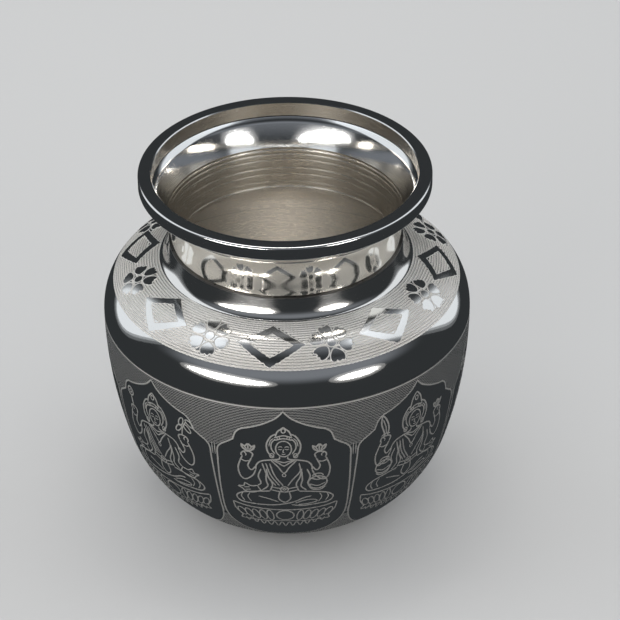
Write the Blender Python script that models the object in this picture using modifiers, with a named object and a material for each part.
"""Lota water pot: a spun, silver-plated brass vessel.

Five turned pieces (bowl, shoulder, neck, rim ring and foot ring) stand on one vertical
axis, and four rings of solder join them. Units are metres and +Z is up. The origin is
the centre of the plane that the foot ring stands on.
"""
import math

import bmesh
import bpy

MM = 0.001

# Driving dimensions
BODY_RADIUS = 55.0 * MM  # at the widest line, where bowl and shoulder meet
WALL = 1.0 * MM  # thickness of the spun sheet
GAP = 0.3 * MM  # clearance kept between neighbouring pieces
FOOT_HEIGHT = 2.0 * MM  # from the standing plane to the bowl's flat base
BOWL_DEPTH = 65.0 * MM  # from the widest line down to the flat base
SEAM_HALF_HEIGHT = 0.3 * MM  # half the height of the solder line round the belly

# The bowl's outline is three arcs that flow into each other: (radius, heading at its end).
# The heading is measured from straight down, towards the axis.
BOWL_ARCS = (
    (141.0 * MM, math.radians(16.45)),
    (41.5 * MM, math.radians(60.0)),
    (6.6 * MM, math.radians(90.0)),
)

# The shoulder's outline is a superellipse that ends at the foot of the cove.
SHOULDER_HEIGHT = 18.98 * MM
SHOULDER_FLATNESS = 2.09
SHOULDER_SQUARENESS = 5.69
COVE_RADIUS = 37.65 * MM
COLLAR_RADIUS = 35.4 * MM
COLLAR_TOP = 23.4 * MM  # above the widest line, like the heights below
COLLAR_CORNER = 18.2 * MM

# The neck is a tube that opens into a trumpet mouth.
NECK_RADIUS = 34.2 * MM
NECK_BOTTOM = 20.4 * MM
FLARE_START = 24.3 * MM
FLARE_TOP = 41.85 * MM
FLARE_TAPER = 0.05  # widening of the neck for each unit of height
FLARE_WIDTH = 5.1 * MM  # what the trumpet adds at its top

# The rim is a half-oval wire with its flat side facing the axis.
RIM_INNER_RADIUS = 39.25 * MM
RIM_WIDTH = 4.05 * MM
RIM_HALF_HEIGHT = 2.25 * MM
RIM_CENTRE = 44.4 * MM

# The foot is a flat-bottomed ring under the bowl's base.
FOOT_OUTER_RADIUS = 24.5 * MM
FOOT_WIDTH = 3.2 * MM
FOOT_CHAMFER = 0.4 * MM

WIDEST_HEIGHT = FOOT_HEIGHT + BOWL_DEPTH
SEGMENTS = 64
MERGE_DISTANCE = 0.00001

SILVER = (0.86, 0.85, 0.83, 1.0)
SATIN_SILVER = (0.74, 0.73, 0.71, 1.0)
SOLDER_GREY = (0.45, 0.44, 0.42, 1.0)


def clear_scene():
    """Remove whatever objects the scene holds."""
    for item in list(bpy.data.objects):
        bpy.data.objects.remove(item, do_unlink=True)


def metal(name, colour, roughness):
    """A plain metallic material."""
    material = bpy.data.materials.new(name)
    material.use_nodes = True
    shader = material.node_tree.nodes["Principled BSDF"]
    shader.inputs["Base Color"].default_value = colour
    shader.inputs["Metallic"].default_value = 1.0
    shader.inputs["Roughness"].default_value = roughness
    return material


def turned(name, profile, material, collection, closed=True):
    """Turn a profile of (radius, height) points, which runs down its outer side, about Z."""
    mesh = bpy.data.meshes.new(name)
    shape = bmesh.new()
    corners = [shape.verts.new((radius, 0.0, height)) for radius, height in profile]
    for first, second in zip(corners, corners[1:]):
        shape.edges.new((first, second))
    if closed:
        shape.edges.new((corners[-1], corners[0]))
    shape.to_mesh(mesh)
    shape.free()
    mesh.materials.append(material)
    piece = bpy.data.objects.new(name, mesh)
    collection.objects.link(piece)
    turn = piece.modifiers.new("turn", "SCREW")
    turn.axis = "Z"
    turn.angle = math.tau
    turn.steps = SEGMENTS
    turn.render_steps = SEGMENTS
    turn.use_merge_vertices = True
    turn.merge_threshold = MERGE_DISTANCE
    turn.use_smooth_shade = True
    return piece


def bowl_outline(inset, counts):
    """Points down the bowl's wall, from the widest line to the edge of its flat base."""
    radius = BODY_RADIUS - inset
    height = WIDEST_HEIGHT
    heading = 0.0
    points = [(radius, height)]
    for (arc_radius, end_heading), count in zip(BOWL_ARCS, counts):
        bend = arc_radius - inset
        for step in range(1, count + 1):
            angle = heading + (end_heading - heading) * step / count
            points.append((
                radius - bend * (math.cos(heading) - math.cos(angle)),
                height - bend * (math.sin(angle) - math.sin(heading)),
            ))
        radius, height = points[-1]
        heading = end_heading
    return points


def make_bowl(material, collection):
    """The spun lower body with its flat base, open at the widest line."""
    outside = bowl_outline(0.0, (5, 7, 2))
    inside = bowl_outline(WALL, (4, 6, 2))
    top = WIDEST_HEIGHT - SEAM_HALF_HEIGHT - GAP
    outside[0] = (BODY_RADIUS, top)
    inside[0] = (BODY_RADIUS - WALL, top)
    profile = [(0.0, inside[-1][1])] + inside[::-1] + outside + [(0.0, outside[-1][1])]
    return turned("bowl", profile, material, collection, closed=False)


def shoulder_point(inset, radius):
    """A point of the shoulder's dome at the given radius."""
    share = (radius / (BODY_RADIUS - inset)) ** SHOULDER_SQUARENESS
    rise = (SHOULDER_HEIGHT - inset) * (1.0 - share) ** (1.0 / SHOULDER_FLATNESS)
    return radius, WIDEST_HEIGHT + rise


def shoulder_outline(inset, end_radius, count):
    """Points up the shoulder's dome, from just above the belly seam to a given radius."""
    points = []
    for step in range(1, count + 1):
        share = math.sin(0.5 * math.pi * step / count) ** 2.0
        radius = BODY_RADIUS - inset - (BODY_RADIUS - inset - end_radius) * share
        points.append(shoulder_point(inset, radius))
    return [(BODY_RADIUS - inset, WIDEST_HEIGHT + SEAM_HALF_HEIGHT + GAP)] + points


def make_shoulder(material, collection):
    """The upper shell: rolled shoulder, band, cove and the collar that takes the neck."""
    dome = shoulder_outline(0.0, COVE_RADIUS, 7)
    collar_top = WIDEST_HEIGHT + COLLAR_TOP
    cove_width = COVE_RADIUS - COLLAR_RADIUS
    cove_height = collar_top - dome[-1][1]
    cove = []
    for step in range(1, 5):
        angle = 0.5 * math.pi * step / 4
        cove.append((
            COVE_RADIUS - cove_width * math.sin(angle),
            collar_top - cove_height * math.cos(angle),
        ))
    bore = NECK_RADIUS + GAP
    corner = WIDEST_HEIGHT + COLLAR_CORNER
    under_cove = COVE_RADIUS - WALL
    inside = [(bore, collar_top), (bore, corner), (bore + 0.7 * WALL, corner - WALL)]
    inside += shoulder_outline(WALL, under_cove, 6)[::-1]
    profile = cove[::-1] + dome[::-1] + inside[::-1]
    return turned("shoulder", profile, material, collection)


def neck_outline(inset, count):
    """Points up the neck, from the seam to the top of its trumpet mouth."""
    points = []
    for step in range(count + 1):
        share = step / count
        rise = (FLARE_TOP - FLARE_START) * share
        radius = NECK_RADIUS + FLARE_TAPER * rise + FLARE_WIDTH * share ** 3
        points.append((radius - inset, WIDEST_HEIGHT + FLARE_START + rise))
    return points


def make_neck(material, collection):
    """The separate neck: its plain tube stands inside the shoulder's collar."""
    bottom = WIDEST_HEIGHT + NECK_BOTTOM
    outside = neck_outline(0.0, 6)[::-1] + [(NECK_RADIUS, bottom)]
    inside = [(NECK_RADIUS - WALL, bottom)] + neck_outline(WALL, 6)
    return turned("neck", outside + inside, material, collection)


def make_rim_ring(material, collection):
    """The half-oval wire that stiffens the mouth."""
    profile = []
    for step in range(11):
        angle = math.pi * (0.5 - step / 10)
        profile.append((
            RIM_INNER_RADIUS + RIM_WIDTH * math.cos(angle),
            WIDEST_HEIGHT + RIM_CENTRE + RIM_HALF_HEIGHT * math.sin(angle),
        ))
    return turned("rim_ring", profile, material, collection)


def make_foot_ring(material, collection):
    """The low ring that the pot stands on."""
    outer = FOOT_OUTER_RADIUS
    inner = FOOT_OUTER_RADIUS - FOOT_WIDTH
    top = FOOT_HEIGHT - GAP
    profile = [
        (outer, top),
        (outer, FOOT_CHAMFER),
        (outer - FOOT_CHAMFER, 0.0),
        (inner + FOOT_CHAMFER, 0.0),
        (inner, FOOT_CHAMFER),
        (inner, top),
    ]
    return turned("foot_ring", profile, material, collection)


def make_solder_rings(material, collection):
    """The four rings of solder that hold the turned pieces together."""
    belly_top = WIDEST_HEIGHT + SEAM_HALF_HEIGHT
    belly_bottom = WIDEST_HEIGHT - SEAM_HALF_HEIGHT
    belly_inner = BODY_RADIUS - WALL
    turned("belly_solder", [
        (BODY_RADIUS, belly_top),
        (BODY_RADIUS, belly_bottom),
        (belly_inner, belly_bottom),
        (belly_inner, belly_top),
    ], material, collection)

    fillet = 0.8 * MM
    seat = WIDEST_HEIGHT + COLLAR_TOP + GAP
    against_neck = NECK_RADIUS + GAP
    turned("neck_solder", [
        (against_neck, seat + fillet),
        (against_neck + fillet, seat),
        (against_neck, seat),
    ], material, collection)

    mouth_radius, mouth_top = neck_outline(0.0, 1)[-1]
    turned("rim_solder", [
        (mouth_radius + fillet, mouth_top),
        (mouth_radius + GAP, mouth_top - fillet),
        (mouth_radius + GAP, mouth_top),
    ], material, collection)

    inside_foot = FOOT_OUTER_RADIUS - FOOT_WIDTH - GAP
    under_base = FOOT_HEIGHT - GAP
    turned("foot_solder", [
        (inside_foot, under_base),
        (inside_foot, under_base - fillet),
        (inside_foot - fillet, under_base),
    ], material, collection)


def main():
    """Build the pot."""
    clear_scene()
    collection = bpy.data.collections.new("lota_water_pot")
    bpy.context.scene.collection.children.link(collection)
    make_bowl(metal("bowl_metal", SATIN_SILVER, 0.30), collection)
    make_shoulder(metal("shoulder_metal", SILVER, 0.15), collection)
    make_neck(metal("neck_metal", SILVER, 0.10), collection)
    make_rim_ring(metal("rim_metal", SILVER, 0.12), collection)
    make_foot_ring(metal("foot_metal", SILVER, 0.20), collection)
    make_solder_rings(metal("solder_metal", SOLDER_GREY, 0.40), collection)


main()
